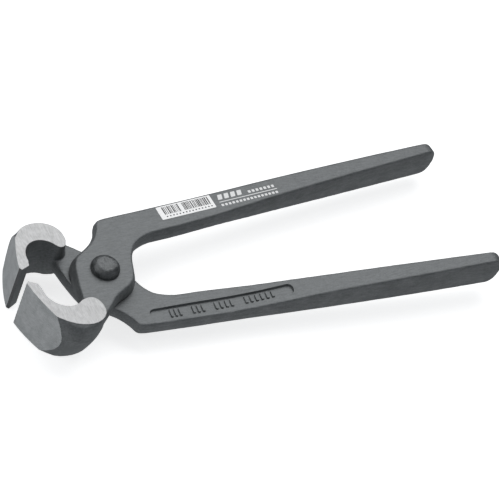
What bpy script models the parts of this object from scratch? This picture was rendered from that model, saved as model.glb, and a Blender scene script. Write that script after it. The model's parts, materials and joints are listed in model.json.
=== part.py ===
"""Carpenter's pincers: two crossed forged levers turning on one domed rivet.

Each lever is one steel forging.  Its handle is on one side of the rivet and its jaw is on the
other.  Both levers come from the same dies: the rear one is turned over, and each handle has
been set by hand a little differently.  A lever is modelled closed, in its own frame: the rivet's
axis is Z through the origin, the lap face where the two levers meet is just above Z = 0, the
handle points along +X on the +Y side and the jaw hooks round on the -Y side, so that its cutting
edge ends on Y = 0.
"""

from math import atan2, cos, pi, radians, sin

import bmesh
import bpy
import numpy as np
from mathutils import Matrix, Vector

MM = 0.001

# Driving dimensions, in millimetres and degrees.
REST_OPENING = 8.4          # angle between the levers as the tool lies, 0 is jaws shut
HANDLE_SET = 0.65           # the front handle is set out by this angle and the rear one in
PLATE_FRONT = 6.1           # outer flat face of a lever, above the middle of the tool
LAP_CLEARANCE = 0.15        # half of the gap between the two lap faces
FRONT_END = 174.0           # furthest point of the front handle from the rivet
REAR_END = 172.2            # the rear handle is trimmed a little shorter
NOSE_REACH = 36.6           # furthest point of a jaw's nose from the rivet
EDGE_CLEARANCE = 0.15       # half of the gap between the shut cutting edges
JAW_HALF_WIDTH = 11.9       # at the nose
JAW_SIDE_TAPER = 0.14       # how fast the ground side faces close in towards the heel
HOLLOW_CENTRE = (-23.3, -6.3)
HOLLOW_RADIUS = 8.5
BORE_RADIUS = 4.8
SHANK_RADIUS = 4.5
HEAD_RADIUS = 5.8
HEAD_FLAT = 2.0             # radius of the nearly flat top of the head
HEAD_HEIGHT = 3.2
PEEN_RADIUS = 5.6
PEEN_HEIGHT = 1.6
HEAD_RIM = 0.35             # upright rim round both heads
ROUND_STEPS = 40            # flats round the rivet and its hole
SEAT_GAP = 0.3              # between the rivet's heads and the levers
POCKET_DEPTH = 1.0
LABEL_SIZE = (25.4, 6.6, 0.2)
LABEL_CENTRE = (47.6, 19.4)
LABEL_TURN = -0.2
LABEL_GAP = 0.3
THROUGH = 30.0              # longer than any hole is deep
SHARP_ANGLE = radians(32)   # steeper edges than this are shaded as sharp


def start_empty():
    """Clear the file and make one collection for the parts and one for the cutters."""
    for old in list(bpy.data.objects):
        bpy.data.objects.remove(old, do_unlink=True)
    parts = bpy.data.collections.new("carpenters_pincers")
    cutters = bpy.data.collections.new("cutters")
    for collection in (parts, cutters):
        bpy.context.scene.collection.children.link(collection)
    return parts, cutters


PARTS, CUTTERS = start_empty()


def finish(name, colour, roughness, metallic):
    """A plain metal or ink for one sub-part."""
    material = bpy.data.materials.new(name)
    material.use_nodes = True
    shader = material.node_tree.nodes["Principled BSDF"]
    shader.inputs["Base Color"].default_value = (*colour, 1.0)
    shader.inputs["Roughness"].default_value = roughness
    shader.inputs["Metallic"].default_value = metallic
    return material


def add_object(name, shape, collection, material=None):
    """Put a bmesh, given in millimetres, into the scene as an object in metres."""
    bmesh.ops.recalc_face_normals(shape, faces=shape.faces)
    bmesh.ops.scale(shape, vec=(MM, MM, MM), verts=shape.verts)
    mesh = bpy.data.meshes.new(name)
    shape.to_mesh(mesh)
    shape.free()
    mesh.shade_smooth()
    mesh.set_sharp_from_angle(angle=SHARP_ANGLE)
    if material:
        mesh.materials.append(material)
    thing = bpy.data.objects.new(name, mesh)
    collection.objects.link(thing)
    return thing


def boolean(target, cutter, operation):
    """Cut or join with another object, which becomes a hidden guide."""
    step = target.modifiers.new(f"{operation.lower()}_{cutter.name}", "BOOLEAN")
    step.operation = operation
    step.solver = "EXACT"
    step.object = cutter
    cutter.parent = target
    cutter.hide_render = True
    cutter.display_type = "WIRE"


def smooth_through(rows, steps):
    """Catmull-Rom curve through rows of numbers, with a few steps in each span."""
    rows = np.array(rows, dtype=float)
    padded = np.vstack([2 * rows[0] - rows[1], rows, 2 * rows[-1] - rows[-2]])
    curve = []
    for before, start, end, after in zip(padded, padded[1:], padded[2:], padded[3:]):
        for u in np.arange(steps) / steps:
            curve.append(0.5 * (2 * start + (end - before) * u
                                + (2 * before - 5 * start + 4 * end - after) * u ** 2
                                + (3 * start - before - 3 * end + after) * u ** 3))
    return np.array(curve + [rows[-1]])


def skin(rings):
    """Join rings of the same number of points into one closed body."""
    shape = bmesh.new()
    loops = [[shape.verts.new(point) for point in ring] for ring in rings]
    count = len(loops[0])
    for near, far in zip(loops, loops[1:]):
        for i in range(count):
            j = (i + 1) % count
            shape.faces.new((near[i], near[j], far[j], far[i]))
    for end in (loops[0], loops[-1]):
        shape.faces.new(end)
    return shape


# ---------------------------------------------------------------------------------------------
# The lever's blade: handle, shoulder, round plate at the rivet, and neck to the jaw.
# ---------------------------------------------------------------------------------------------
# Stations from the handle's end to the neck.  Each has the outer and inner edge of the front
# flat, the level of the back face, the radius of the rounded edges, and the draft, which is how
# far the side walls lean out from the front flat down to the lap face.
BLADE = [
    # outer x, y      inner x, y      back   edge  draft
    (163.0, 21.5,   163.0, 16.1,    -7.5,   0.6,  0.0),
    (140.0, 22.2,   140.0, 15.6,    -6.7,   0.6,  0.0),
    (115.0, 22.7,   115.0, 14.9,    -5.6,   0.6,  0.0),
    (92.0,  23.0,    92.0, 14.1,    -4.2,   0.6,  0.0),
    (76.0,  23.1,    76.0, 13.2,    -2.7,   0.6,  0.1),
    (62.0,  23.1,    62.0, 12.4,    -1.2,   0.5,  0.2),
    (48.0,  23.2,    48.0, 11.9,    -0.5,   0.5,  0.4),
    (36.0,  23.4,    36.0, 11.8,    -0.4,   0.5,  0.5),
    (23.0,  23.6,    27.0, 11.9,    -0.3,   0.5,  0.5),
    (14.5,  23.7,    22.3, 10.7,     0.0,   0.5,  0.4),
    (9.8,   23.6,    19.3,  9.5,     0.1,   0.5,  0.3),
    (7.8,   22.7,    17.1,  7.9,     LAP_CLEARANCE, 0.7, 0.2),
    (6.7,   20.5,    15.3,  5.8,     LAP_CLEARANCE, 0.7, 0.2),
    (4.6,   17.4,    13.8,  3.4,     LAP_CLEARANCE, 0.7, 0.3),
    (2.0,   14.7,    12.6,  0.8,     LAP_CLEARANCE, 0.7, 0.6),
    (-1.3,  12.5,    11.6, -1.9,     LAP_CLEARANCE, 0.7, 1.0),
    (-4.6,  10.9,    10.5, -4.5,     LAP_CLEARANCE, 0.7, 1.2),
    (-8.3,   8.7,     8.6, -7.5,     LAP_CLEARANCE, 0.7, 1.2),
    (-10.6,  5.2,     5.5, -9.7,     LAP_CLEARANCE, 0.7, 1.0),
    (-12.2,  0.8,     1.4, -11.4,    LAP_CLEARANCE, 0.7, 0.7),
    (-13.8, -4.6,    -2.6, -13.7,    LAP_CLEARANCE, 0.7, 0.4),
    (-15.0, -9.6,    -6.2, -16.8,    LAP_CLEARANCE, 0.7, 0.3),
    (-16.2, -14.0,  -10.4, -20.0,    LAP_CLEARANCE, 0.7, 0.3),
]
BLADE_STEPS = 2
TIP_RADIUS = 5.2
TIP_STEPS = 5
TIP_DRAW_IN = (0.22, 0.2, 1.0)   # of the outer edge, inner edge and back, for each mm off the front
WALL_BULGE = 0.4            # how far the middle of a side wall stands out
EDGE_CHAMFER = 0.3          # the middle of a rounded edge, as a share of its radius
LAP_EDGE = 0.3              # radius where a side wall meets the lap face
SET_FROM = 30.0             # where the hand-set bend of a handle starts


def blade_section(outer_x, outer_y, inner_x, inner_y, back, edge, draft, front=PLATE_FRONT):
    """Rounded section of the blade between its two edges, as a ring of points."""
    outer = np.array([outer_x, outer_y])
    inner = np.array([inner_x, inner_y])
    width = np.linalg.norm(outer - inner)
    across = (outer - inner) / width
    edge = min(edge, 0.4 * width)
    back_edge = LAP_EDGE if back >= LAP_CLEARANCE else edge
    cut = EDGE_CHAMFER * edge
    back_cut = EDGE_CHAMFER * back_edge
    half_wall = [
        (-edge, front),
        (-cut, front - cut),
        (0.0, front - edge),
        (WALL_BULGE + 0.5 * draft, 0.5 * (front + back)),
        (draft, back + back_edge),
        (draft - back_cut, back + back_cut),
        (draft - back_edge, back),
    ]
    outer_side = [(*(outer + across * (out + cut)), level) for out, level in half_wall]
    inner_side = [(*(inner - across * (out + cut)), level) for out, level in half_wall]
    return outer_side + inner_side[::-1]


def set_over(stations, angle):
    """Lean the handle in or out by a small angle, as it is set by hand after forging."""
    shift = sin(angle) * np.clip(stations[:, [0, 2]] - SET_FROM, 0.0, None)
    stations = stations.copy()
    stations[:, [1, 3]] += shift
    return stations


def tip_sections(last, before, handle_end):
    """Sections that round the handle off past its last station, by a quarter circle's rule."""
    slope = (last - before) / (last[0] - before[0])
    sections = []
    for k in range(TIP_STEPS, -1, -1):
        turn = 0.5 * pi * k / TIP_STEPS
        inset = TIP_RADIUS * (1 - cos(turn))
        station = last + slope * (handle_end - TIP_RADIUS * (1 - sin(turn)) - last[0])
        station[1] -= TIP_DRAW_IN[0] * inset
        station[3] += TIP_DRAW_IN[1] * inset
        station[4] += TIP_DRAW_IN[2] * inset
        sections.append(blade_section(*station, front=PLATE_FRONT - inset))
    return sections


def blade(handle_set, handle_end):
    """The whole blade as one loft from the handle's end into the jaw."""
    stations = set_over(smooth_through(BLADE, BLADE_STEPS), handle_set)
    tip = tip_sections(stations[0], stations[1], handle_end)
    return skin(tip + [blade_section(*row) for row in stations])


# ---------------------------------------------------------------------------------------------
# The jaw: a wide hook with a barrel-shaped back, a ground facet and a round hollow.
# ---------------------------------------------------------------------------------------------
# The back and heel on the front side face, on the rear side face, and where the back stands out
# most.  All three run from next to the facet round the heel to the hollow.
BACK_FRONT = [(-28.6, -21.4), (-24.2, -23.5), (-19.3, -24.3), (-14.8, -23.5),
              (-11.3, -20.9), (-10.3, -17.4), (-11.0, -14.1), (-13.3, -12.3), (-15.8, -12.4),
              (-18.1, -13.0)]
BACK_REAR = [(-29.2, -20.9), (-24.8, -22.9), (-20.4, -23.4), (-16.2, -22.4),
             (-13.3, -19.9), (-12.2, -16.6), (-12.4, -13.7), (-14.0, -11.4), (-16.2, -11.3),
             (-18.1, -13.0)]
BACK_CROWN = [(-27.9, -26.2), (-24.0, -27.9), (-19.2, -27.4), (-15.0, -25.0),
              (-11.0, -21.4), (-9.8, -17.5), (-10.8, -14.1), (-13.3, -12.1), (-15.9, -12.2),
              (-18.1, -13.0)]
CROWN_LEVEL = 0.3           # where the back stands out most, from -1 at the rear to 1 in front
JAW_LEVELS = (1.0, 0.94, 0.8, 0.58, 0.3, 0.1, -0.15, -0.45, -0.75, -1.0)
FACET_POINTS = 7
HOLLOW_POINTS = 14
LAND_POINT = (-32.2, -2.15) # where the land inside the cutting edge meets the hollow
LAND_DROP = 2.4             # from that point down to the hollow's own arc
EDGE_X = -35.75             # the cutting edge itself
EDGE_BEVEL = 1.1            # depth of the small bevel between the cutting edge and the facet
FACET_LEAN = (0.0392, 1.6)  # the facet leans in by this much of its depth to this power
# How deep the facet runs: at its deepest level, on the front side face and on the rear one.  Each
# side also has the power by which the depth falls off towards it.
FACET_DEEPEST = (0.1, 23.4)
FACET_FRONT = (18.4, 1.5)
FACET_REAR = (16.0, 2.2)


def facet_x(depth):
    """The ground facet in plan: nearly upright at the edge, then leaning in to the back."""
    rate, power = FACET_LEAN
    return -NOSE_REACH + rate * depth ** power


def facet_end(level):
    """Depth at which the facet ends and the forged back begins, at a level across the jaw."""
    middle, deepest = FACET_DEEPEST
    depth, power = FACET_FRONT if level > middle else FACET_REAR
    away = (level - middle) / (1 - middle) if level > middle else (middle - level) / (1 + middle)
    return deepest + (depth - deepest) * away ** power


def crown(level):
    """How far the back has swelled towards its crown at a level across the jaw."""
    if level >= CROWN_LEVEL:
        return (1 - ((level - CROWN_LEVEL) / (1 - CROWN_LEVEL)) ** 2) ** 0.5
    return 1 - ((CROWN_LEVEL - level) / (1 + CROWN_LEVEL)) ** 1.1


def jaw_outline(level):
    """Closed outline of the hook in plan, at a level from -1 at the rear to 1 in front."""
    side = 0.5 * ((1 + level) * np.array(BACK_FRONT) + (1 - level) * np.array(BACK_REAR))
    end = facet_end(level)
    back = np.vstack([(facet_x(end), -end), side + crown(level) * (np.array(BACK_CROWN) - side)])
    points = []
    for depth in np.linspace(EDGE_BEVEL, end, FACET_POINTS)[:-1]:
        points.append((facet_x(depth), -depth))
    points += [tuple(point) for point in smooth_through(back, 2)]
    centre_x, centre_y = HOLLOW_CENTRE
    heel_x, heel_y = BACK_FRONT[-1]
    first = atan2(heel_y - centre_y, heel_x - centre_x)
    last = atan2(LAND_POINT[1] - LAND_DROP - centre_y, LAND_POINT[0] - centre_x) - 2 * pi
    for turn in np.linspace(first, last, HOLLOW_POINTS)[1:]:
        points.append((centre_x + HOLLOW_RADIUS * cos(turn), centre_y + HOLLOW_RADIUS * sin(turn)))
    points.append(LAND_POINT)
    points.append((EDGE_X, -EDGE_CLEARANCE))
    return points


def jaw():
    """The hook, as outlines stacked from one ground side face to the other."""
    rings = []
    for level in JAW_LEVELS:
        ring = []
        for x, y in jaw_outline(level):
            half_width = JAW_HALF_WIDTH - JAW_SIDE_TAPER * (x + NOSE_REACH)
            ring.append((x, y, level * half_width))
        rings.append(ring)
    return skin(rings)


# ---------------------------------------------------------------------------------------------
# Cutters.
# ---------------------------------------------------------------------------------------------
# The long pocket in the back of the handle: middle line and half width at each station.
POCKET = [(16.0, 19.8, 2.6), (35.0, 19.1, 2.5), (55.0, 18.3, 2.3), (73.8, 17.5, 2.1)]
POCKET_END_STEPS = 4


def back_level(x):
    """Level of the handle's back face at a distance from the rivet."""
    stations = smooth_through(BLADE, BLADE_STEPS)
    middle = 0.5 * (stations[:, 0] + stations[:, 2])
    return float(np.interp(x, middle[::-1], stations[::-1, 4]))


def pocket_cutter(handle_set):
    """A round-ended bar that follows the handle's back face."""
    line = smooth_through(POCKET, 3)
    line[:, 1] += sin(handle_set) * np.clip(line[:, 0] - SET_FROM, 0.0, None)
    start, end = line[0], line[-1]
    rows = []
    for k in range(POCKET_END_STEPS):
        turn = 0.5 * pi * (k + 0.4) / POCKET_END_STEPS
        rows.append((start[0] - start[2] * cos(turn), start[1], start[2] * sin(turn)))
    rows += [tuple(row) for row in line]
    for k in reversed(range(POCKET_END_STEPS)):
        turn = 0.5 * pi * (k + 0.4) / POCKET_END_STEPS
        rows.append((end[0] + end[2] * cos(turn), end[1], end[2] * sin(turn)))
    rings = []
    for x, y, half in rows:
        floor = back_level(x) + POCKET_DEPTH
        rings.append([(x, y - half, floor), (x, y + half, floor),
                      (x, y + half, floor - THROUGH), (x, y - half, floor - THROUGH)])
    return add_object("pocket_cutter", skin(rings), CUTTERS)


def bore_cutter():
    """The hole for the rivet's shank."""
    shape = bmesh.new()
    bmesh.ops.create_cone(shape, cap_ends=True, segments=ROUND_STEPS, radius1=BORE_RADIUS,
                          radius2=BORE_RADIUS, depth=THROUGH)
    return add_object("bore_cutter", shape, CUTTERS)


# ---------------------------------------------------------------------------------------------
# The pieces.
# ---------------------------------------------------------------------------------------------
FORGED_STEEL = finish("forged_steel", (0.16, 0.175, 0.18), 0.45, 0.9)
RIVET_STEEL = finish("rivet_steel", (0.10, 0.11, 0.11), 0.4, 0.9)
LABEL_FOIL = finish("label_foil", (0.72, 0.74, 0.74), 0.5, 0.0)


def forged_lever(name, handle_set, handle_end):
    """One lever, closed pose, with its hook joined on and its holes cut."""
    lever = add_object(name, blade(handle_set, handle_end), PARTS, FORGED_STEEL)
    boolean(lever, add_object("hook", jaw(), CUTTERS), "UNION")
    boolean(lever, bore_cutter(), "DIFFERENCE")
    boolean(lever, pocket_cutter(handle_set), "DIFFERENCE")
    return lever


def head_curve(flat, radius, height, steps):
    """Quarter-round from a head's flat top out and down to its rim: radius and height pairs."""
    curve = []
    for k in range(steps + 1):
        turn = 0.5 * pi * k / steps
        curve.append((flat + (radius - flat) * sin(turn), HEAD_RIM + (height - HEAD_RIM) * cos(turn)))
    return curve


def rivet():
    """A turned rivet: low dome in front, shank through both levers, peened head behind."""
    seat = PLATE_FRONT + SEAT_GAP
    dome = head_curve(HEAD_FLAT, HEAD_RADIUS, HEAD_HEIGHT, 5)
    peen = head_curve(0.0, PEEN_RADIUS, PEEN_HEIGHT, 4)
    profile = [(0.0, seat + HEAD_HEIGHT)]
    profile += [(radius, seat + height) for radius, height in dome]
    profile += [(HEAD_RADIUS, seat), (SHANK_RADIUS, seat), (SHANK_RADIUS, -seat), (PEEN_RADIUS, -seat)]
    profile += [(radius, -seat - height) for radius, height in reversed(peen)]
    shape = bmesh.new()
    verts = [shape.verts.new((radius, 0.0, level)) for radius, level in profile]
    for a, b in zip(verts, verts[1:]):
        shape.edges.new((a, b))
    piece = add_object("rivet", shape, PARTS, RIVET_STEEL)
    turn = piece.modifiers.new("turn", "SCREW")
    turn.steps = ROUND_STEPS
    turn.render_steps = ROUND_STEPS
    turn.use_smooth_shade = True
    turn.use_merge_vertices = True
    turn.merge_threshold = 0.01 * MM
    return piece


def label():
    """The thin label on the front of the upper handle."""
    shape = bmesh.new()
    bmesh.ops.create_cube(shape, size=1.0)
    bmesh.ops.scale(shape, vec=LABEL_SIZE, verts=shape.verts)
    return add_object("label", shape, PARTS, LABEL_FOIL)


def place(thing, parent, matrix):
    """Hang a piece on the tool's empty."""
    thing.parent = parent
    thing.matrix_local = matrix


def stand_on_origin(tool):
    """Move the whole tool so that the origin is under the middle of its box."""
    bpy.context.view_layer.update()
    depsgraph = bpy.context.evaluated_depsgraph_get()
    points = []
    for piece in tool.children:
        shape = piece.evaluated_get(depsgraph)
        points += [shape.matrix_world @ vert.co for vert in shape.data.vertices]
    low = Vector([min(point[i] for point in points) for i in range(3)])
    high = Vector([max(point[i] for point in points) for i in range(3)])
    tool.location = (-0.5 * (low.x + high.x), -0.5 * (low.y + high.y), -low.z)


def build():
    """Make every piece, hang them on one empty at the rivet's axis and stand the tool."""
    tool = bpy.data.objects.new("tool", None)
    PARTS.objects.link(tool)
    half = radians(0.5 * REST_OPENING)
    handle_set = radians(HANDLE_SET)
    opened = Matrix.Rotation(half, 4, "Z")
    turned_over = Matrix.Rotation(-half, 4, "Z") @ Matrix.Rotation(pi, 4, "X")
    label_level = PLATE_FRONT + LABEL_GAP + 0.5 * LABEL_SIZE[2]
    label_at = Matrix.Translation(Vector((*LABEL_CENTRE, label_level)) * MM)
    label_turn = Matrix.Rotation(radians(LABEL_TURN), 4, "Z")
    place(forged_lever("front_lever", handle_set, FRONT_END), tool, opened)
    place(forged_lever("rear_lever", -handle_set, REAR_END), tool, turned_over)
    place(rivet(), tool, opened)
    place(label(), tool, opened @ label_at @ label_turn)
    stand_on_origin(tool)


build()
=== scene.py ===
# %% [markdown]
# # The looks of a pair of carpenter's pincers
#
# The frame holds four pieces: two forged levers, the rivet that they turn on, and a label.  Their
# shape and place are settled there.  This lesson gives them the surfaces of the real tool: a dark
# forged skin with soft edges, ground faces with crisp edges on the jaws, a hammered rivet, and
# print on the handle.  Nothing here moves a piece of the frame.

import json
from math import cos, pi, radians, sin

import bmesh
import bpy
import numpy as np
from mathutils import Matrix, Vector, noise


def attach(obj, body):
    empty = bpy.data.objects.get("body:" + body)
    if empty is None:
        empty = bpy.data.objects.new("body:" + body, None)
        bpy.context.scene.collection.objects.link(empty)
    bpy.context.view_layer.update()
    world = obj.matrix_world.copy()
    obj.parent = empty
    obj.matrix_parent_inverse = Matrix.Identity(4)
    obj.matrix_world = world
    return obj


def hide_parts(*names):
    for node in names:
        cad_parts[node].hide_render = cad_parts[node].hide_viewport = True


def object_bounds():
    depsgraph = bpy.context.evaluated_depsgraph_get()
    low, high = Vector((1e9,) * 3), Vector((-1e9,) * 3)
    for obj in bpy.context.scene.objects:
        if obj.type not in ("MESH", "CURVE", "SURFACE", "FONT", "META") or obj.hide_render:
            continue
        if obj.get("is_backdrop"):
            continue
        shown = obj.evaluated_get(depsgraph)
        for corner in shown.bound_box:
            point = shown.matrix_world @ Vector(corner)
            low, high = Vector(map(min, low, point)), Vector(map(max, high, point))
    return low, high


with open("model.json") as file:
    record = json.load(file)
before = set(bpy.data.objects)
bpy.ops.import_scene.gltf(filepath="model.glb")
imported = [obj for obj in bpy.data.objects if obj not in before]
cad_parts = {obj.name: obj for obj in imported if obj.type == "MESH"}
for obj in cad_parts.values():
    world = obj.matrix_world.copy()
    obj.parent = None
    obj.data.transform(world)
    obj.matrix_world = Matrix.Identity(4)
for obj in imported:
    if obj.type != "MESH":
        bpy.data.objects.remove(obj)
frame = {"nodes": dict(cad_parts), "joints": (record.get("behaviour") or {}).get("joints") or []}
bpy.context.view_layer.update()
cad_box = [list(corner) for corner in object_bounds()]
print("pieces in the frame:", sorted(frame["nodes"]))
print("box in mm:", [[round(1000 * value, 1) for value in corner] for corner in cad_box])

# %% [markdown]
# ## Working in a lever's own frame
#
# Both levers come from the same dies.  One is turned over and laid across the other, so each face
# of a lever has simple numbers in the lever's own frame: millimetres, the rivet's axis as Z, jaws
# shut, handle along +X and jaw on the -Y side.  The joint in the frame's record says where the
# rivet is and how far the jaws stand open, and one matrix for each lever follows from that.

# %% One matrix for each lever
MM = 0.001
joint = frame["joints"][0]
pivot = Vector(joint["pos_m"])
half_open = radians(-joint["range_deg"][0]) / 2


def lever_frame(turned_over):
    """Matrix from a lever's own frame, in millimetres, to the model's frame in metres."""
    turn = Matrix.Rotation(-half_open if turned_over else half_open, 4, "Z")
    if turned_over:
        turn = turn @ Matrix.Rotation(pi, 4, "X")
    return Matrix.Translation(pivot) @ turn @ Matrix.Scale(MM, 4)


FRONT = lever_frame(False)
REAR = lever_frame(True)
print("rivet at", [round(value / MM, 1) for value in pivot], "mm, jaws open by",
      round(joint["range_deg"][0], 1), "degrees")

# %% [markdown]
# ## The faces that the grinder leaves
#
# A forging comes out of the dies with soft edges all over.  Then each jaw is ground: on its two
# side faces, down the nose to the cutting edge, and on the small land inside that edge.  Ground
# faces are flat and their edges are crisp.  The functions below say how far a point is from each
# of them, and are used twice: to find a face on the frame's mesh, and to cut it again later.

# %% Where the ground faces lie
NOSE_REACH = 36.6
NOSE_LEAN = (0.0392, 1.6)
EDGE = Vector((-35.75, -0.15))
EDGE_BEVEL = 1.1
LAND_END = Vector((-32.2, -2.15))
JAW_HALF_WIDTH = 11.9
JAW_SIDE_TAPER = 0.14
PLATE_FRONT = 6.1
JAW_BEGINS = -8.0
FACING = 0.5
TOUCHING = 0.03


def nose_x(y):
    """The nose in plan: upright at the cutting edge, then leaning in towards the back."""
    rate, power = NOSE_LEAN
    return -NOSE_REACH + rate * max(0.0, -y) ** power


def side_level(x):
    """Height of the ground side faces, which close in a little towards the heel."""
    return JAW_HALF_WIDTH - JAW_SIDE_TAPER * (x + NOSE_REACH)


def left_of(start, end):
    """Unit vector square to the way from one point to another in plan, on its left."""
    along = (end - start).normalized()
    return Vector((-along.y, along.x))


bevel_start = Vector((nose_x(-EDGE_BEVEL), -EDGE_BEVEL))
bevel_normal = left_of(bevel_start, EDGE)
land_normal = left_of(EDGE, LAND_END)

GROUND = {
    "front side": (lambda p: p.z - side_level(p.x), Vector((0, 0, 1))),
    "rear side": (lambda p: p.z + side_level(p.x), Vector((0, 0, -1))),
    "nose": (lambda p: p.x - nose_x(p.y), Vector((-1, 0, 0))),
    "bevel": (lambda p: (p.xy - EDGE).dot(bevel_normal), Vector((*bevel_normal, 0))),
    "land": (lambda p: (p.xy - EDGE).dot(land_normal), Vector((*land_normal, 0))),
}


def looks_along(face, name):
    """Whether a face belongs to the jaw and looks the same way as one of its ground faces."""
    outward = GROUND[name][1]
    return face.calc_center_median().x < JAW_BEGINS and face.normal.dot(outward) > FACING


def faces_on(shape, name):
    """The faces of a mesh that lie on one of the ground faces of the jaw."""
    distance = GROUND[name][0]
    return [face for face in shape.faces if looks_along(face, name)
            and all(abs(distance(corner.co)) < TOUCHING for corner in face.verts)]


print("ground faces:", ", ".join(GROUND))


# %% [markdown]
# ## Soft forged skin by voxel remeshing
#
# Rounding each edge of a forging with a bevel is slow and breaks where edges meet.  A voxel
# remesh turns the lever into an even net of small squares instead, and a few rounds of smoothing
# then melt all of its edges alike, as scale and shot-blasting do.  The ground faces must stay
# crisp, so they are first raised by some grinding stock, and cut back after the smoothing.  The
# pocket in the handle is too shallow to outlive the smoothing, so it is filled first and sunk
# again afterwards.

# %% Raise stock, remesh and smooth
STOCK = 2.0
VOXEL = 0.36
SMOOTH_ROUNDS = 4
POCKET_DEPTH = 1.0
POCKET_MIDDLE = Vector((46.0, 18.7))
FLAT = 0.9


def in_lever_frame(node, place):
    """A copy of a frame node's mesh in the lever's own frame."""
    shape = bmesh.new()
    shape.from_mesh(frame["nodes"][node].data)
    bmesh.ops.remove_doubles(shape, verts=shape.verts, dist=0.001 * MM)
    shape.transform(place.inverted())
    shape.normal_update()
    return shape


def raise_stock(shape):
    """Extrude every ground face outwards, on walls of its own."""
    for name, (_, outward) in GROUND.items():
        faces = faces_on(shape, name)
        raised = bmesh.ops.extrude_face_region(shape, geom=faces)["geom"]
        corners = [part for part in raised if isinstance(part, bmesh.types.BMVert)]
        bmesh.ops.translate(shape, vec=outward * STOCK, verts=corners)
        bmesh.ops.delete(shape, geom=[face for face in faces if face.is_valid], context="FACES_ONLY")
        print("  stock on the", name, "from", len(faces), "faces")


def flat_run(shape, near):
    """The faces of one flat run, spreading from the face under a point to its sharp edges."""
    start = min((face for face in shape.faces if face.normal.z < -FLAT),
                key=lambda face: (face.calc_center_median().xy - near).length)
    run, fresh = {start}, [start]
    while fresh:
        for edge in fresh.pop().edges:
            for face in edge.link_faces:
                if face not in run and face.normal.z < -FLAT:
                    run.add(face)
                    fresh.append(face)
    return run


def fill_pocket(shape):
    """Lift the floor of the handle's pocket to its rim, and give back where the floor was."""
    floor = {corner for face in flat_run(shape, POCKET_MIDDLE) for corner in face.verts}
    levels = sorted((corner.co.x, corner.co.z) for corner in floor)
    for corner in floor:
        corner.co.z -= POCKET_DEPTH
    print("  pocket filled, floor from x =", round(levels[0][0], 1), "to", round(levels[-1][0], 1))
    return np.array(levels)


def as_mesh(name, shape):
    """Turn a bmesh into a mesh."""
    mesh = bpy.data.meshes.new(name)
    shape.to_mesh(mesh)
    shape.free()
    return mesh


def with_modifiers(mesh, *modifiers):
    """The mesh that comes out of a row of modifiers, each given as its kind and its settings."""
    worker = bpy.data.objects.new("worker", mesh)
    bpy.context.scene.collection.objects.link(worker)
    for kind, settings in modifiers:
        modifier = worker.modifiers.new(kind.lower(), kind)
        for key, value in settings.items():
            setattr(modifier, key, value)
    bpy.context.view_layer.update()
    seen = worker.evaluated_get(bpy.context.evaluated_depsgraph_get())
    made = bpy.data.meshes.new_from_object(seen)
    bpy.data.objects.remove(worker)
    return made


# %% [markdown]
# ## Grinding
#
# A grinding wheel takes everything beyond its face.  So does a Boolean: two wedge-shaped cutters
# take the stock off the side faces, and a third one, whose outline is the nose, the edge and the
# land, takes it off the rest.  On their outer sides the cutters reach well past the jaw, where
# their size does not matter.

# %% Grinding wheels
NOSE_STEPS = 28
NOSE_DEPTH = 24.8
LAND_RUN_OUT = 1.0
WHEEL_FRONT = -45.0
WHEEL_BACK = -29.0
WHEEL_TOP = 4.0
WHEEL_HALF_WIDTH = 20.0


def prism(outline, low, high):
    """Closed body over an outline in XY, between two levels."""
    shape = bmesh.new()
    base = shape.faces.new([shape.verts.new((x, y, low)) for x, y in outline])
    top = bmesh.ops.extrude_face_region(shape, geom=[base])["geom"]
    raised = [part for part in top if isinstance(part, bmesh.types.BMVert)]
    bmesh.ops.translate(shape, vec=(0, 0, high - low), verts=raised)
    bmesh.ops.recalc_face_normals(shape, faces=shape.faces)
    return shape


def side_wheel(sign):
    """What lies beyond one ground side face of the jaw."""
    near, far, beyond = -50.0, -5.0, 30.0
    deepest, highest = -45.0, 12.0
    shape = prism([(near, side_level(near)), (far, side_level(far)), (far, beyond), (near, beyond)],
                  deepest, highest)
    # The outline was drawn in XZ, so it is laid down with Y across the jaw.
    shape.transform(Matrix(((1, 0, 0, 0), (0, 0, 1, 0), (0, sign, 0, 0), (0, 0, 0, 1))))
    shape.normal_update()
    bmesh.ops.recalc_face_normals(shape, faces=shape.faces)
    return shape


def nose_wheel():
    """What lies in front of the nose and above the cutting edge and the land."""
    depths = np.linspace(NOSE_DEPTH, EDGE_BEVEL, NOSE_STEPS)
    outline = [(nose_x(-depth), -depth) for depth in depths]
    outline.append(tuple(EDGE))
    outline.append(tuple(LAND_END + (LAND_END - EDGE).normalized() * LAND_RUN_OUT))
    outline += [(WHEEL_BACK, WHEEL_TOP), (WHEEL_FRONT, WHEEL_TOP), (WHEEL_FRONT, -NOSE_DEPTH)]
    return prism(outline, -WHEEL_HALF_WIDTH, WHEEL_HALF_WIDTH)


print("wheels meet at the cutting edge, x =", EDGE.x)

# %% [markdown]
# ## The pocket in the handle
#
# Each lever has a shallow pocket in one face of its handle.  It is sunk with a long round-ended
# cutter that is narrower at its floor, because a die needs draft to let go of the steel.  The
# handles are set a little after forging, and the pocket goes with its handle.

# %% Pocket cutter
POCKET_LINE = [(16.0, 19.8, 2.6), (35.0, 19.1, 2.5), (55.0, 18.3, 2.3), (73.8, 17.5, 2.1)]
POCKET_STATIONS = 12
POCKET_STEPS = 10
FIRST_STEP = 0.3
POCKET_DRAFT = 0.22
POCKET_OPEN = 1.8
HANDLE_SET = radians(0.65)
SET_FROM = 30.0


def pocket_line(x, handle_set):
    """Middle of the pocket and its half width at a distance along the handle."""
    stations = np.array(POCKET_LINE)
    bend = sin(handle_set) * max(0.0, x - SET_FROM)
    return (float(np.interp(x, stations[:, 0], stations[:, 1])) + bend,
            float(np.interp(x, stations[:, 0], stations[:, 2])))


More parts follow.
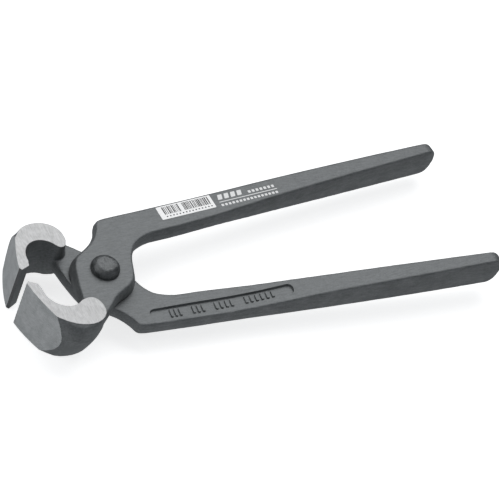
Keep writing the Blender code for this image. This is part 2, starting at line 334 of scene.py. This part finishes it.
def pocket_cutter(levels, handle_set):
    """Round-ended bar that sinks the pocket, wider at the rim than at the floor."""
    first, last = POCKET_LINE[0], POCKET_LINE[-1]
    turns = [0.5 * pi * (k + FIRST_STEP) / POCKET_STEPS for k in range(POCKET_STEPS)]
    rows = [(first[0] - first[2] * cos(t), sin(t)) for t in turns]
    rows += [(x, 1.0) for x in np.linspace(first[0], last[0], POCKET_STATIONS)]
    rows += [(last[0] + last[2] * cos(t), sin(t)) for t in reversed(turns)]
    shape = bmesh.new()
    rings = []
    for x, share in rows:
        middle, half = pocket_line(min(max(x, first[0]), last[0]), handle_set)
        floor = float(np.interp(x, levels[:, 0], levels[:, 1]))
        low, wide = half * share, half * share + POCKET_DRAFT
        far = wide + 2 * POCKET_DRAFT
        corners = [(middle - far, floor - POCKET_OPEN), (middle - low, floor),
                   (middle + low, floor), (middle + far, floor - POCKET_OPEN)]
        rings.append([shape.verts.new((x, y, z)) for y, z in corners])
    for near, far in zip(rings, rings[1:]):
        for i in range(4):
            j = (i + 1) % 4
            shape.faces.new((near[i], near[j], far[j], far[i]))
    shape.faces.new(rings[0])
    shape.faces.new(rings[-1])
    bmesh.ops.recalc_face_normals(shape, faces=shape.faces)
    return shape


print("pocket from x =", POCKET_LINE[0][0], "to", POCKET_LINE[-1][0], "mm")

# %% [markdown]
# ## From blank to ground lever
#
# Now the steps come together: stock on, remesh, smooth, cut back.  Every ground face is then
# found once more by the same distances, and gets the number of its finish.

# %% Cut, and sort the faces by finish
SIDE, BELT, BEVEL = 1, 2, 3


def cut(mesh, *cutters):
    """Take each cutter away from a mesh."""
    tools = []
    for number, shape in enumerate(cutters):
        tool = bpy.data.objects.new(f"tool_{number}", as_mesh(f"tool_{number}", shape))
        bpy.context.scene.collection.objects.link(tool)
        tools.append(tool)
    steps = [("BOOLEAN", {"operation": "DIFFERENCE", "solver": "MANIFOLD", "object": tool})
             for tool in tools]
    made = with_modifiers(mesh, *steps)
    for tool in tools:
        bpy.data.objects.remove(tool)
    return made


def joined_groups(faces):
    """Sets of faces that hang together over shared edges."""
    left = set(faces)
    while left:
        group, fresh = set(), [left.pop()]
        while fresh:
            face = fresh.pop()
            group.add(face)
            beside = {other for edge in face.edges for other in edge.link_faces} & left
            left -= beside
            fresh += beside
        yield group


def paint_ground_faces(mesh):
    """Give each ground face the number of its finish.  Everything else stays forged skin, 0."""
    slots = {"front side": SIDE, "rear side": SIDE, "nose": BELT, "bevel": BEVEL, "land": BELT}
    shape = bmesh.new()
    shape.from_mesh(mesh)
    for name, (distance, _) in GROUND.items():
        on_face = [face for face in shape.faces if looks_along(face, name)
                   and abs(distance(face.calc_center_median())) < TOUCHING]
        # Only the largest patch counts.  A stray face of the skin that happens to lie on the same
        # surface keeps the look of skin.
        for face in max(joined_groups(on_face), key=len):
            face.material_index = slots[name]
    shape.to_mesh(mesh)
    shape.free()


def forged_lever(name, node, place, handle_set):
    """The visible mesh of one lever, in its own frame, and the levels of its pocket's floor."""
    print(name)
    shape = in_lever_frame(node, place)
    raise_stock(shape)
    levels = fill_pocket(shape)
    soft = with_modifiers(
        as_mesh(name, shape),
        ("REMESH", {"mode": "VOXEL", "voxel_size": VOXEL}),
        ("SMOOTH", {"factor": 0.5, "iterations": SMOOTH_ROUNDS}))
    mesh = cut(soft, side_wheel(1), side_wheel(-1), nose_wheel(), pocket_cutter(levels, handle_set))
    mesh.name = name
    paint_ground_faces(mesh)
    print("  faces:", len(mesh.polygons))
    return mesh, levels


front_mesh, front_levels = forged_lever("front_lever_forging", "front_lever", FRONT, HANDLE_SET)
rear_mesh, rear_levels = forged_lever("rear_lever_forging", "rear_lever", REAR, -HANDLE_SET)

# %% [markdown]
# ## Finishes as small programs
#
# A Blender material is a graph of nodes.  Wiring it by hand hides what it does, so here a wire is
# a Python value: adding or multiplying two wires adds the Math node that does it, and one method
# makes any other node.  A finish then reads like a recipe.  Noise is dull between its extremes, so
# a cloud can be given a contrast: where in its range it turns from dark to light.

# %% Wires and finishes
class Wire:
    """One socket's value in a finish, with the usual signs for its maths."""

    def __init__(self, finish, socket):
        self.finish = finish
        self.socket = socket

    def maths(self, operation, first, second):
        return self.finish.node("ShaderNodeMath", {"operation": operation}, {0: first, 1: second})

    def __add__(self, other):
        return self.maths("ADD", self, other)

    def __sub__(self, other):
        return self.maths("SUBTRACT", self, other)

    def __rsub__(self, other):
        return self.maths("SUBTRACT", other, self)

    def __mul__(self, other):
        return self.maths("MULTIPLY", self, other)

    __radd__ = __add__
    __rmul__ = __mul__


class Finish:
    """A procedural material for one kind of surface on the tool."""

    def __init__(self, name, **fixed):
        self.material = bpy.data.materials.new(name)
        self.material.use_nodes = True
        self.tree = self.material.node_tree
        self.shader = self.tree.nodes["Principled BSDF"]
        for socket, value in fixed.items():
            self.shader.inputs[socket.replace("_", " ")].default_value = value

    def node(self, kind, settings=None, inputs=None, output=0):
        """Add any node: its settings first, then the values or wires of its sockets."""
        made = self.tree.nodes.new(kind)
        for key, value in (settings or {}).items():
            if key == "stops":
                while len(made.color_ramp.elements) < len(value):
                    made.color_ramp.elements.new(1.0)
                for stop, (position, level) in zip(made.color_ramp.elements, value):
                    stop.position = position
                    stop.color = (level, level, level, 1)
            else:
                setattr(made, key, value)
        for key, value in (inputs or {}).items():
            if isinstance(value, Wire):
                self.tree.links.new(value.socket, made.inputs[key])
            else:
                made.inputs[key].default_value = value
        return Wire(self, made.outputs[output])

    def place(self, stretch=(1, 1, 1), turn=0.0):
        """Where a point is on the tool, in millimetres, stretched along the axes if asked."""
        where = self.node("ShaderNodeTexCoord", output=3)
        scale = [value / MM for value in stretch]
        return self.node("ShaderNodeMapping", None,
                         {"Vector": where, "Rotation": (0, 0, turn), "Scale": scale})

    def cloud(self, size, detail=3.0, stretch=(1, 1, 1), turn=0.0, contrast=None):
        """Noise whose blots are about so many millimetres across, from 0 to 1."""
        blots = self.node("ShaderNodeTexNoise", None, {"Vector": self.place(stretch, turn),
                                                       "Scale": 1 / size, "Detail": detail})
        if contrast is None:
            return blots
        low, high = contrast
        return self.node("ShaderNodeValToRGB", {"stops": [(low, 0.0), (high, 1.0)]}, {0: blots})

    def blend(self, mask, first, second):
        """One colour where the mask is 0 and the other where it is 1."""
        return self.node("ShaderNodeMix", {"data_type": "RGBA"}, {0: mask, 6: first, 7: second}, 2)

    def relief(self, height, depth, strength=1.0, under=None):
        """Turn a height from 0 to 1 into a bump of that depth in millimetres."""
        inputs = {"Strength": strength, "Distance": depth * MM, "Height": height}
        if under:
            inputs["Normal"] = under
        return self.node("ShaderNodeBump", None, inputs)

    def drive(self, **sockets):
        """Let wires drive sockets of the shader."""
        for socket, wire in sockets.items():
            self.tree.links.new(wire.socket, self.shader.inputs[socket.replace("_", " ")])
        return self.material


CLEAR = (0.3, 0.7)
BLUE_SHARE = 0.4


def grey(value, warmth=0.0):
    """A near-neutral colour.  Steel oxide is a touch green and blue, so warmth is below zero."""
    return (value * (1 + warmth), value, value * (1 - warmth * BLUE_SHARE), 1)


# %% [markdown]
# ### The forged skin
#
# After forging the steel is blasted clean and blackened in a hot bath.  That leaves a matt grey
# skin with fine pits, faint brush marks and cloudy patches where the bath bit more.  Pits go into
# a bump, marks and patches into the colour and the gloss.

# %% Forged skin
BRUSH_TURN = 0.5


def forged_skin():
    finish = Finish("forged_skin", Metallic=0.5, Specular_IOR_Level=0.35)
    patches = finish.cloud(7.0, 4.0, contrast=CLEAR)
    specks = finish.cloud(0.8, 3.0, contrast=CLEAR)
    brushed = finish.cloud(0.7, 2.0, stretch=(0.22, 1.4, 1.0), turn=BRUSH_TURN, contrast=CLEAR)
    pits = finish.cloud(0.28, 2.0)
    swell = finish.cloud(3.0, 2.0)
    tone = patches * 0.35 + specks * 0.35 + brushed * 0.3
    colour = finish.blend(tone, grey(0.11, -0.06), grey(0.25, -0.04))
    bump = finish.relief(pits, 0.05, 0.6, finish.relief(swell, 0.09, 0.5))
    return finish.drive(Base_Color=colour, Roughness=patches * 0.12 + specks * 0.12 + 0.33,
                        Normal=bump)


# %% [markdown]
# ### Ground steel
#
# The side faces come off a fine surface grinder: bright, a little cloudy, with short scratches.
# The nose and the land are ground on a belt, square to the cutting edge, which leaves long fine
# lines and a darker, satin grey.  The narrow bevel along the edge has the same belt finish with its
# colour painted much darker: painted shade for the dark surroundings that the bevel mirrors.

# %% Ground finishes
def bright_side():
    finish = Finish("bright_ground_side", Metallic=0.8)
    clouds = finish.cloud(2.2, 4.0, contrast=CLEAR)
    streaks = finish.cloud(0.5, 2.0, stretch=(1.6, 0.16, 1), contrast=CLEAR)
    tone = clouds * 0.5 + streaks * 0.5
    colour = finish.blend(tone, grey(0.33), grey(0.66))
    bump = finish.relief(streaks, 0.006, 0.6)
    return finish.drive(Base_Color=colour, Roughness=clouds * 0.12 + streaks * 0.10 + 0.34, Normal=bump)


def belt_ground(name, darkest, lightest):
    finish = Finish(name, Metallic=0.4)
    lines = finish.cloud(0.35, 3.0, stretch=(1, 0.09, 1.2), contrast=CLEAR)
    clouds = finish.cloud(4.0, 3.0, contrast=CLEAR)
    colour = finish.blend(lines * 0.6 + clouds * 0.4, grey(darkest, -0.04), grey(lightest, -0.03))
    bump = finish.relief(lines, 0.010, 0.7)
    return finish.drive(Base_Color=colour, Roughness=lines * 0.14 + 0.36, Normal=bump)


# In the order of the numbers that the faces were given: skin, side, belt and bevel.  The bevel's
# finish is the belt finish painted much darker, as painted shade.
LEVER_FINISHES = [forged_skin(), bright_side(), belt_ground("belt_ground_nose", 0.30, 0.56),
                  belt_ground("bevel_painted_shade", 0.08, 0.14)]
print("finishes:", [finish.name for finish in LEVER_FINISHES])

# %% [markdown]
# ## Put the levers in place
#
# A finished mesh is moved from the lever's own frame into the model's, shaded smooth except along
# its ground edges, and set to ride on the body that the frame's lever belongs to.

# %% Levers
SHARP_ANGLE = radians(26)


def crisp_borders(mesh):
    """Shade the mesh smooth, but for its ground side faces and the borders between finishes."""
    shape = bmesh.new()
    shape.from_mesh(mesh)
    for face in shape.faces:
        face.smooth = face.material_index != SIDE
    for edge in shape.edges:
        sides = {face.material_index for face in edge.link_faces}
        edge.smooth = len(sides) == 1 and edge.calc_face_angle(0.0) < SHARP_ANGLE
    shape.to_mesh(mesh)
    shape.free()


def show(mesh, name, place, body, finishes, slot, *nodes):
    """Make a visible piece from a mesh: placed, shaded, finished and riding on its body."""
    mesh.transform(place)
    crisp_borders(mesh)
    kept = [face.material_index for face in mesh.polygons]
    mesh.materials.clear()
    for finish in finishes:
        mesh.materials.append(finish)
    mesh.polygons.foreach_set("material_index", kept)
    piece = bpy.data.objects.new(name, mesh)
    bpy.context.scene.collection.objects.link(piece)
    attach(piece, body)
    if nodes:
        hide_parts(*nodes)
    print(name, "rides on", body, "with", len(mesh.polygons), "faces")
    return piece


show(front_mesh, "front_forging", FRONT, "front", LEVER_FINISHES, "forged_steel", "front_lever")
show(rear_mesh, "rear_forging", REAR, "rear", LEVER_FINISHES, "forged_steel", "rear_lever")

# %% [markdown]
# ## The rivet
#
# The rivet is a turned blank with a low round head, which the hammer has driven a little off
# centre.  Its tail is hammered over behind the rear lever.  A profile spun round the axis gives
# both heads, and shallow dents from noise turn the clean dome into a hammered one.  Its blackening
# is darker than the levers' skin.

# %% Hammered rivet
ROUND_STEPS = 96
SHANK_RADIUS = 4.5
HEAD = {"flat": 2.6, "radius": 5.85, "height": 3.3}
HEAD_OFF_CENTRE = Vector((0.05, 0.5, 0))
PEEN = {"flat": 0.6, "radius": 5.6, "height": 1.6}
HEAD_RIM = 0.35
HEAD_UNDERCUT = 0.12
SEAT = PLATE_FRONT - 0.02
SLACK = 0.001
DENT = 0.07


def head_profile(flat, radius, height, steps=12):
    """Radius and height pairs from the middle of a head out and down to its rim."""
    curve = [(share * flat, height) for share in (0.0, 0.3, 0.6, 0.85)]
    for k in range(steps + 1):
        turn = 0.5 * pi * k / steps
        curve.append((flat + (radius - flat) * sin(turn), HEAD_RIM + (height - HEAD_RIM) * cos(turn)))
    curve.append((radius - HEAD_UNDERCUT, 0.0))
    return curve


def spin(profile):
    """Closed body turned from a profile that starts and ends on the axis."""
    shape = bmesh.new()
    rings = []
    for radius, level in profile:
        if radius == 0:
            rings.append([shape.verts.new((0, 0, level))])
        else:
            rings.append([shape.verts.new((radius * cos(2 * pi * k / ROUND_STEPS),
                                           radius * sin(2 * pi * k / ROUND_STEPS), level))
                          for k in range(ROUND_STEPS)])
    for near, far in zip(rings, rings[1:]):
        for k in range(ROUND_STEPS):
            after = (k + 1) % ROUND_STEPS
            corners = [near[k % len(near)], near[after % len(near)], far[after % len(far)], far[k % len(far)]]
            shape.faces.new(list(dict.fromkeys(corners)))
    bmesh.ops.recalc_face_normals(shape, faces=shape.faces)
    return shape


def hammered_rivet():
    """Two heads on a shank, with dents, in the front lever's own frame."""
    front = [(radius, SEAT + height) for radius, height in head_profile(**HEAD)]
    behind = [(radius, -SEAT - height) for radius, height in head_profile(**PEEN)]
    shape = spin(front + [(SHANK_RADIUS, SEAT), (SHANK_RADIUS, -SEAT)] + behind[::-1])
    for corner in shape.verts:
        if corner.co.z > SEAT - SLACK:
            corner.co += HEAD_OFF_CENTRE
        if abs(corner.co.z) > PLATE_FRONT + HEAD_RIM:
            dent = noise.noise(corner.co * 0.45) * 2 * DENT + noise.noise(corner.co * 1.3) * DENT
            corner.co.z -= dent * (1 if corner.co.z > 0 else -1)
    return as_mesh("hammered_rivet", shape)


def blackened_rivet():
    finish = Finish("blackened_rivet", Metallic=0.75)
    patches = finish.cloud(2.4, 4.0, contrast=CLEAR)
    specks = finish.cloud(0.5, 2.0, contrast=CLEAR)
    colour = finish.blend(patches * 0.6 + specks * 0.4, grey(0.05, -0.05), grey(0.20, -0.04))
    bump = finish.relief(specks, 0.04, 0.6, finish.relief(patches, 0.12, 0.6))
    return finish.drive(Base_Color=colour, Roughness=patches * 0.2 + 0.32, Normal=bump)


show(hammered_rivet(), "rivet_hammered", FRONT, "front", [blackened_rivet()], "rivet_steel", "rivet")

# %% [markdown]
# ## Label and print
#
# A foil label lies flat on the front handle, with two groups of plain bars.  Next to it the
# handle carries white print.  Both are kept generic here: blocks, a rule and rows of dashes stand
# where words would be.  They are thin solids a few hundredths of a millimetre thick, so that they
# stay sharp however close one looks.

# %% Thin plates
INK = 0.02
LIFT = 0.01
CORNER_STEPS = 5


def plate(shape, x, y, low, high, corner=0.0, lean=0.0):
    """Add a thin plate with rounded corners, leaning over in X by a share of its height."""
    points = []
    steps = CORNER_STEPS if corner else 1
    for quarter, (cx, cy) in enumerate([(x[1], y[1]), (x[0], y[1]), (x[0], y[0]), (x[1], y[0])]):
        inward = (-1 if cx == x[1] else 1, -1 if cy == y[1] else 1)
        for k in range(steps):
            turn = 0.5 * pi * (quarter + k / max(1, steps - 1)) if corner else 0.0
            px = cx + inward[0] * corner + (corner * cos(turn) if corner else 0)
            py = cy + inward[1] * corner + (corner * sin(turn) if corner else 0)
            points.append((px + lean * (py - y[0]), py))
    base = shape.faces.new([shape.verts.new((px, py, low)) for px, py in points])
    top = bmesh.ops.extrude_face_region(shape, geom=[base])["geom"]
    raised = [part for part in top if isinstance(part, bmesh.types.BMVert)]
    bmesh.ops.translate(shape, vec=(0, 0, high - low), verts=raised)


def plate_row(shape, base, start, end, pitch, width, y, corner=0.0, lean=0.0):
    """Add a row of equal printed plates at an even pitch."""
    for x in np.arange(start, end, pitch):
        plate(shape, (x, x + width), y, base, base + INK, corner, lean)


def sealed(name, shape):
    """Check the normals of a shape made of plates, and turn it into a mesh."""
    bmesh.ops.recalc_face_normals(shape, faces=shape.faces)
    return as_mesh(name, shape)


# %% [markdown]
# The label's bars come in mixed widths and gaps, drawn from a seeded list so that they are the same
# each time.  A row of small ticks runs under them.

# %% Label and print
LABEL = {"x": (34.9, 60.3), "y": (16.1, 22.7), "thick": 0.12, "corner": 0.35}
LABEL_TOP = PLATE_FRONT + LIFT + LABEL["thick"]
BAR_GROUPS = ((37.2, 44.9), (46.6, 58.8))
BAR_RISE = (2.2, 6.1)
BAR_WIDTHS = [0.16, 0.3, 0.3, 0.52]
BAR_GAPS = [0.24, 0.3, 0.5]
TICK_RISE = (0.9, 1.45)
TICK_ROW = {"start": 37.4, "end": 58.6, "pitch": 1.5, "width": 0.62}
PRINT_ROWS = {
    "blocks": {"start": 62.9, "end": 74.5, "pitch": 3.1, "width": 2.1, "y": (19.3, 21.8),
               "corner": 0.3, "lean": 0.3},
    "dashes": {"start": 77.6, "end": 90.0, "pitch": 1.9, "width": 1.2, "y": (19.2, 20.5),
               "corner": 0.2},
    "rule": {"start": 62.8, "end": 90.0, "pitch": 28.0, "width": 28.0, "y": (17.95, 18.3),
             "corner": 0.1},
    "dots": {"start": 62.9, "end": 90.2, "pitch": 1.75, "width": 1.15, "y": (15.9, 17.0),
             "corner": 0.2},
}
rng = np.random.default_rng(7)


def label_sheet():
    shape = bmesh.new()
    plate(shape, LABEL["x"], LABEL["y"], PLATE_FRONT + LIFT, LABEL_TOP, LABEL["corner"])
    return sealed("label_sheet", shape)


def label_bars():
    """Two groups of upright bars of mixed widths, and a row of small ticks under them."""
    shape = bmesh.new()
    foot = LABEL["y"][0]
    for start, end in BAR_GROUPS:
        x = start
        while x < end:
            width = float(rng.choice(BAR_WIDTHS))
            plate(shape, (x, x + width), [foot + rise for rise in BAR_RISE], LABEL_TOP, LABEL_TOP + INK)
            x += width + float(rng.choice(BAR_GAPS))
    plate_row(shape, LABEL_TOP, y=[foot + rise for rise in TICK_RISE], **TICK_ROW)
    return sealed("label_bars", shape)


def handle_print():
    """White print: a row of slanting blocks, a row of dashes, a long rule and a row of dots."""
    shape = bmesh.new()
    for row in PRINT_ROWS.values():
        plate_row(shape, PLATE_FRONT + LIFT, **row)
    return sealed("handle_print", shape)


def label_foil():
    finish = Finish("label_foil", Metallic=0.45)
    clouds = finish.cloud(3.0, 3.0)
    fibres = finish.cloud(0.3, 2.0, stretch=(0.4, 1, 1))
    colour = finish.blend(clouds * 0.5 + fibres * 0.5, grey(0.76), grey(0.94))
    return finish.drive(Base_Color=colour, Roughness=clouds * 0.15 + 0.38,
                        Normal=finish.relief(fibres, 0.01, 0.5))


FADED = 0.86


def ink(name, tone, metallic=0.0):
    finish = Finish(name, Metallic=metallic)
    specks = finish.cloud(0.4, 2.0)
    colour = finish.blend(specks, grey(tone * FADED), grey(tone))
    return finish.drive(Base_Color=colour, Roughness=specks * 0.2 + 0.45)


show(label_sheet(), "label_sheet", FRONT, "front", [label_foil()], "label_foil", "label")
show(label_bars(), "label_bars", FRONT, "front", [ink("bar_ink", 0.06)], "label_foil")
show(handle_print(), "handle_print", FRONT, "front", [ink("white_ink", 0.85, 0.5)], "label_foil")

# %% [markdown]
# ## Raised marks in the pocket
#
# The die leaves raised marks on the pocket's floor.  Here they are plain upright ticks in four
# groups.  Each has a soft top, so it is a small plate with its upper edges bevelled.

# %% Raised ticks
TICK_HEIGHT = 0.55
TICK_ROOT = 0.15
TICK_WIDTH_SHARE = 0.27
TICK_LENGTH_SHARE = 0.7
TICK_CORNER = 0.3
TICK_BEVEL = 0.13
TICK_GROUPS = ((21.6, 27.4, 3), (31.2, 37.4, 3), (41.0, 50.2, 4), (54.2, 68.2, 6))


def tick_marks(name, levels, handle_set):
    """The ticks on one lever's pocket floor, in the lever's own frame."""
    shape = bmesh.new()
    for start, end, count in TICK_GROUPS:
        pitch = (end - start) / count
        for k in range(count):
            x = start + pitch * (k + 0.5)
            middle, half = pocket_line(x, handle_set)
            floor = float(np.interp(x, levels[:, 0], levels[:, 1]))
            wide, tall = TICK_WIDTH_SHARE * pitch, TICK_LENGTH_SHARE * half
            plate(shape, (x - wide, x + wide), (middle - tall, middle + tall),
                  floor + TICK_ROOT, floor - TICK_HEIGHT, TICK_CORNER)
    bmesh.ops.recalc_face_normals(shape, faces=shape.faces)
    tops = {edge for face in shape.faces if face.normal.z < -FLAT for edge in face.edges}
    bmesh.ops.bevel(shape, geom=list(tops), offset=TICK_BEVEL, segments=2, affect="EDGES")
    return as_mesh(name, shape)


skin = LEVER_FINISHES[:1]
show(tick_marks("front_ticks", front_levels, HANDLE_SET), "front_ticks", FRONT, "front", skin,
     "forged_steel")
show(tick_marks("rear_ticks", rear_levels, -HANDLE_SET), "rear_ticks", REAR, "rear", skin,
     "forged_steel")

# %% [markdown]
# ## Floor, lights and camera
#
# A tool catalogue shows its tools on plain white.  A pale floor with a little glow of its own
# keeps the shadow light.  One large soft box hangs behind and above, where the bright side faces
# of the jaws mirror it, so that the flats are grey and the sides towards the camera are dark.

# %% Floor
FLOOR_HALF = 4.0
FLOOR_DROP = 0.0002


def pale_floor():
    finish = Finish("pale_floor", Emission_Color=grey(1.0), Emission_Strength=0.72, Roughness=0.9)
    colour = finish.blend(finish.cloud(60.0), grey(0.78), grey(0.80))
    return finish.drive(Base_Color=colour)


def floor():
    """A wide pale floor that the steel does not mirror, so that low faces stay dark."""
    shape = bmesh.new()
    bmesh.ops.create_grid(shape, x_segments=4, y_segments=4, size=FLOOR_HALF)
    mesh = as_mesh("floor", shape)
    mesh.materials.append(pale_floor())
    piece = bpy.data.objects.new("floor", mesh)
    bpy.context.scene.collection.objects.link(piece)
    piece.location.z = -FLOOR_DROP
    piece.visible_glossy = False
    piece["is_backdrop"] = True
    return piece


print("staged:", floor().name)

# %% Lights
def soft_box(name, azimuth, elevation, distance, size, power):
    """Area light that looks at the middle of the tool from a compass angle and a height."""
    data = bpy.data.lights.new(name, "AREA")
    data.shape = "RECTANGLE"
    data.size, data.size_y = size
    data.energy = power
    lamp = bpy.data.objects.new(name, data)
    bpy.context.scene.collection.objects.link(lamp)
    around, up = radians(azimuth), radians(elevation)
    lamp.location = Vector((cos(around) * cos(up), sin(around) * cos(up), sin(up))) * distance
    lamp.rotation_euler = lamp.location.to_track_quat("Z", "Y").to_euler()
    return lamp


soft_box("key_box", 62.0, 55.0, 1.3, (1.5, 1.1), 9.5)
soft_box("left_box", 170.0, 40.0, 1.4, (0.8, 0.8), 3.0)
world = bpy.data.worlds.new("studio")
bpy.context.scene.world = world
world.use_nodes = True
world.node_tree.nodes["Background"].inputs["Color"].default_value = (0.9, 0.95, 1.0, 1)
world.node_tree.nodes["Background"].inputs["Strength"].default_value = 0.22
bpy.context.scene.view_settings.view_transform = "Standard"

# %% [markdown]
# The camera stands in front of the jaws, to their left and above, and looks past the rivet down
# the handles.  A long lens keeps the handles nearly parallel.

# %% Camera
CAMERA_FROM_RIVET = Vector((-414.2, -505.7, 713.2))
CAMERA_TURN = (41.88, -16.4, -26.017)
CAMERA_LENS = 180.0

camera_data = bpy.data.cameras.new("camera")
camera_data.lens = CAMERA_LENS
camera_data.clip_start, camera_data.clip_end = 0.05, 20.0
camera = bpy.data.objects.new("camera", camera_data)
bpy.context.scene.collection.objects.link(camera)
camera.location = pivot + CAMERA_FROM_RIVET * MM
camera.rotation_euler = [radians(angle) for angle in CAMERA_TURN]
bpy.context.scene.camera = camera
print("camera at", [round(value / MM) for value in camera.location], "mm, lens", CAMERA_LENS)

# %% [markdown]
# ## Close the frame
#
# The last cell prints the box of the finished model; the box of the frame was printed at the start.

# %% Finish
bpy.context.view_layer.update()
seen_box = [list(corner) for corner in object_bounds()]
print("visual box in mm:", [[round(1000 * value, 1) for value in corner] for corner in seen_box])
